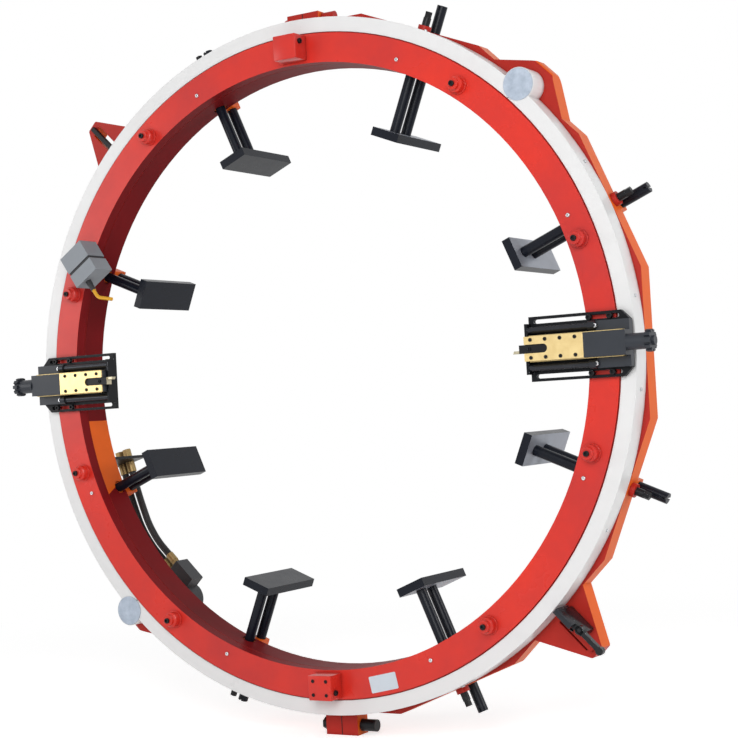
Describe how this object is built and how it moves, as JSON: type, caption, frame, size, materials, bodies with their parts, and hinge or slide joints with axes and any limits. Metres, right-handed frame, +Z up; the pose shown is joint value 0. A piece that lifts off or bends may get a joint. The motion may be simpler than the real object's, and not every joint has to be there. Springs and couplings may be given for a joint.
{
  "type": "split frame pipe cutter",
  "caption": "Split frame orbital pipe cutter: a legged static ring frame clamps the pipe and a geared split ring with two radial tool slides turns in front of it.",
  "frame": {"origin": "on the machine's axis in the front face plane of the rotating ring", "axes": "+Y backwards along the pipe's axis, +X to the right seen from the front, +Z up"},
  "size_m": [1.9246, 0.365, 1.884],
  "materials": {
    "ring_red": "semi-gloss red paint",
    "frame_orange": "semi-gloss orange-red paint",
    "guard_white": "semi-gloss white paint",
    "cap_grey": "satin grey",
    "black_steel": "blackened steel",
    "ground_steel": "ground steel",
    "brass": "machined brass",
    "box_grey": "cast aluminium, satin",
    "box_dark": "matte black",
    "hose_rubber": "matte black rubber",
    "motor_black": "black paint"
  },
  "bodies": {
    "frame": {"frame_half_right": "frame_orange", "frame_half_left": "frame_orange", "bearing_track_right": "ground_steel", "bearing_track_left": "ground_steel", "guard_right": "guard_white", "guard_left": "guard_white", "pinion_caps": "cap_grey", "guard_screws": "ground_steel", "leg_guide_blocks": "frame_orange", "jack_nuts": "black_steel", "drive_motor_upper": "motor_black", "drive_motor_lower": "motor_black", "hydraulic_hoses": "hose_rubber", "hose_couplings": "black_steel", "tripper_block": "black_steel", "tripper_rails": "black_steel", "frame_clamp_bolts": "black_steel"},
    "rotor": {"ring_half_right": "ring_red", "ring_half_left": "ring_red", "ring_joint_clamps": "ring_red", "roller_bosses": "ring_red", "roller_axles": "black_steel", "track_rollers": "ground_steel", "face_plugs": "ground_steel", "slide_base_right": "black_steel", "slide_base_left": "black_steel", "slide_rods": "ground_steel", "slide_housing_right": "black_steel", "slide_housing_left": "black_steel", "brass_cover_right": "brass", "brass_cover_left": "brass", "ring_screws": "black_steel", "control_box": "box_grey", "control_box_lid": "box_grey", "box_valve": "box_dark"},
    "pinion_upper_body": {"pinion_upper": "ground_steel"},
    "pinion_lower_body": {"pinion_lower": "ground_steel"},
    "tool_right": {"tool_bar_right": "black_steel"},
    "tool_left": {"tool_bar_left": "black_steel"},
    "star_right": {"star_wheel_right": "black_steel"},
    "star_left": {"star_wheel_left": "black_steel"},
    "tripper_bar": {"trip_bar": "black_steel"},
    "tripper_lever": {"trip_lever": "black_steel"},
    "leg_1_body": {"leg_1": "black_steel"},
    "jack_1_body": {"jack_screw_1": "black_steel"},
    "leg_2_body": {"leg_2": "black_steel"},
    "jack_2_body": {"jack_screw_2": "black_steel"},
    "leg_3_body": {"leg_3": "black_steel"},
    "jack_3_body": {"jack_screw_3": "black_steel"},
    "leg_4_body": {"leg_4": "black_steel"},
    "jack_4_body": {"jack_screw_4": "black_steel"},
    "leg_5_body": {"leg_5": "black_steel"},
    "jack_5_body": {"jack_screw_5": "black_steel"},
    "leg_6_body": {"leg_6": "black_steel"},
    "jack_6_body": {"jack_screw_6": "black_steel"},
    "leg_7_body": {"leg_7": "black_steel"},
    "jack_7_body": {"jack_screw_7": "black_steel"},
    "leg_8_body": {"leg_8": "black_steel"},
    "jack_8_body": {"jack_screw_8": "black_steel"}
  },
  "joints": [
    {"name": "ring_spin", "type": "hinge", "parent": "frame", "child": "rotor", "pos_m": [0, 0, 0], "axis": [0, 1, 0], "continuous": true},
    {"name": "pinion_upper_spin", "type": "hinge", "parent": "frame", "child": "pinion_upper_body", "pos_m": [0.6364, 0.02, 0.6364], "axis": [0, 1, 0], "continuous": true},
    {"name": "pinion_lower_spin", "type": "hinge", "parent": "frame", "child": "pinion_lower_body", "pos_m": [-0.6364, 0.02, -0.6364], "axis": [0, 1, 0], "continuous": true},
    {"name": "tool_feed_right", "type": "slide", "parent": "rotor", "child": "tool_right", "axis": [-1, 0, 0], "range_m": [-0.012, 0.045]},
    {"name": "star_right_turn", "type": "hinge", "parent": "rotor", "child": "star_right", "pos_m": [0.95, -0.045, 0], "axis": [1, 0, 0], "range_deg": [-2170, 8110]},
    {"name": "tool_feed_left", "type": "slide", "parent": "rotor", "child": "tool_left", "axis": [1, 0, 0], "range_m": [-0.012, 0.045]},
    {"name": "star_left_turn", "type": "hinge", "parent": "rotor", "child": "star_left", "pos_m": [-0.95, -0.045, 0], "axis": [-1, 0, 0], "range_deg": [-2170, 8110]},
    {"name": "leg_1_slide", "type": "slide", "parent": "frame", "child": "leg_1_body", "axis": [0.9239, 0, 0.3827], "range_m": [-0.03, 0.07]},
    {"name": "jack_1_turn", "type": "hinge", "parent": "leg_1_body", "child": "jack_1_body", "pos_m": [0.7391, 0.09, 0.30615], "axis": [0.9239, 0, 0.3827], "range_deg": [-2705, 6305]},
    {"name": "leg_2_slide", "type": "slide", "parent": "frame", "child": "leg_2_body", "axis": [0.3827, 0, 0.9239], "range_m": [-0.03, 0.07]},
    {"name": "jack_2_turn", "type": "hinge", "parent": "leg_2_body", "child": "jack_2_body", "pos_m": [0.30615, 0.09, 0.7391], "axis": [0.3827, 0, 0.9239], "range_deg": [-2705, 6305]},
    {"name": "leg_3_slide", "type": "slide", "parent": "frame", "child": "leg_3_body", "axis": [-0.3827, 0, 0.9239], "range_m": [-0.03, 0.07]},
    {"name": "jack_3_turn", "type": "hinge", "parent": "leg_3_body", "child": "jack_3_body", "pos_m": [-0.30615, 0.09, 0.7391], "axis": [-0.3827, 0, 0.9239], "range_deg": [-2705, 6305]},
    {"name": "leg_4_slide", "type": "slide", "parent": "frame", "child": "leg_4_body", "axis": [-0.9239, 0, 0.3827], "range_m": [-0.03, 0.07]},
    {"name": "jack_4_turn", "type": "hinge", "parent": "leg_4_body", "child": "jack_4_body", "pos_m": [-0.7391, 0.09, 0.30615], "axis": [-0.9239, 0, 0.3827], "range_deg": [-2705, 6305]},
    {"name": "leg_5_slide", "type": "slide", "parent": "frame", "child": "leg_5_body", "axis": [-0.9239, 0, -0.3827], "range_m": [-0.03, 0.07]},
    {"name": "jack_5_turn", "type": "hinge", "parent": "leg_5_body", "child": "jack_5_body", "pos_m": [-0.7391, 0.09, -0.30615], "axis": [-0.9239, 0, -0.3827], "range_deg": [-2705, 6305]},
    {"name": "leg_6_slide", "type": "slide", "parent": "frame", "child": "leg_6_body", "axis": [-0.3827, 0, -0.9239], "range_m": [-0.03, 0.07]},
    {"name": "jack_6_turn", "type": "hinge", "parent": "leg_6_body", "child": "jack_6_body", "pos_m": [-0.30615, 0.09, -0.7391], "axis": [-0.3827, 0, -0.9239], "range_deg": [-2705, 6305]},
    {"name": "leg_7_slide", "type": "slide", "parent": "frame", "child": "leg_7_body", "axis": [0.3827, 0, -0.9239], "range_m": [-0.03, 0.07]},
    {"name": "jack_7_turn", "type": "hinge", "parent": "leg_7_body", "child": "jack_7_body", "pos_m": [0.30615, 0.09, -0.7391], "axis": [0.3827, 0, -0.9239], "range_deg": [-2705, 6305]},
    {"name": "leg_8_slide", "type": "slide", "parent": "frame", "child": "leg_8_body", "axis": [0.9239, 0, -0.3827], "range_m": [-0.03, 0.07]},
    {"name": "jack_8_turn", "type": "hinge", "parent": "leg_8_body", "child": "jack_8_body", "pos_m": [0.7391, 0.09, -0.30615], "axis": [0.9239, 0, -0.3827], "range_deg": [-2705, 6305]},
    {"name": "trip_lever_swing", "type": "hinge", "parent": "frame", "child": "tripper_lever", "pos_m": [0.70852, 0.013, -0.66609], "axis": [0, -1, 0], "range_deg": [0, 60]},
    {"name": "trip_bar_slide", "type": "slide", "parent": "frame", "child": "tripper_bar", "axis": [0, -1, 0], "range_m": [0, 0.0145]}
  ],
  "couplings": [
    {"joint": "pinion_upper_spin", "follows": "ring_spin", "ratio": -29},
    {"joint": "pinion_lower_spin", "follows": "ring_spin", "ratio": -29},
    {"joint": "star_right_turn", "follows": "tool_feed_right", "rad_per_m": 3141.6},
    {"joint": "star_left_turn", "follows": "tool_feed_left", "rad_per_m": 3141.6},
    {"joint": "jack_1_turn", "follows": "leg_1_slide", "rad_per_m": 1570.8},
    {"joint": "jack_2_turn", "follows": "leg_2_slide", "rad_per_m": 1570.8},
    {"joint": "jack_3_turn", "follows": "leg_3_slide", "rad_per_m": 1570.8},
    {"joint": "jack_4_turn", "follows": "leg_4_slide", "rad_per_m": 1570.8},
    {"joint": "jack_5_turn", "follows": "leg_5_slide", "rad_per_m": 1570.8},
    {"joint": "jack_6_turn", "follows": "leg_6_slide", "rad_per_m": 1570.8},
    {"joint": "jack_7_turn", "follows": "leg_7_slide", "rad_per_m": 1570.8},
    {"joint": "jack_8_turn", "follows": "leg_8_slide", "rad_per_m": 1570.8},
    {"joint": "trip_bar_slide", "follows": "trip_lever_swing", "m_per_rad": 0.013369}
  ]
}
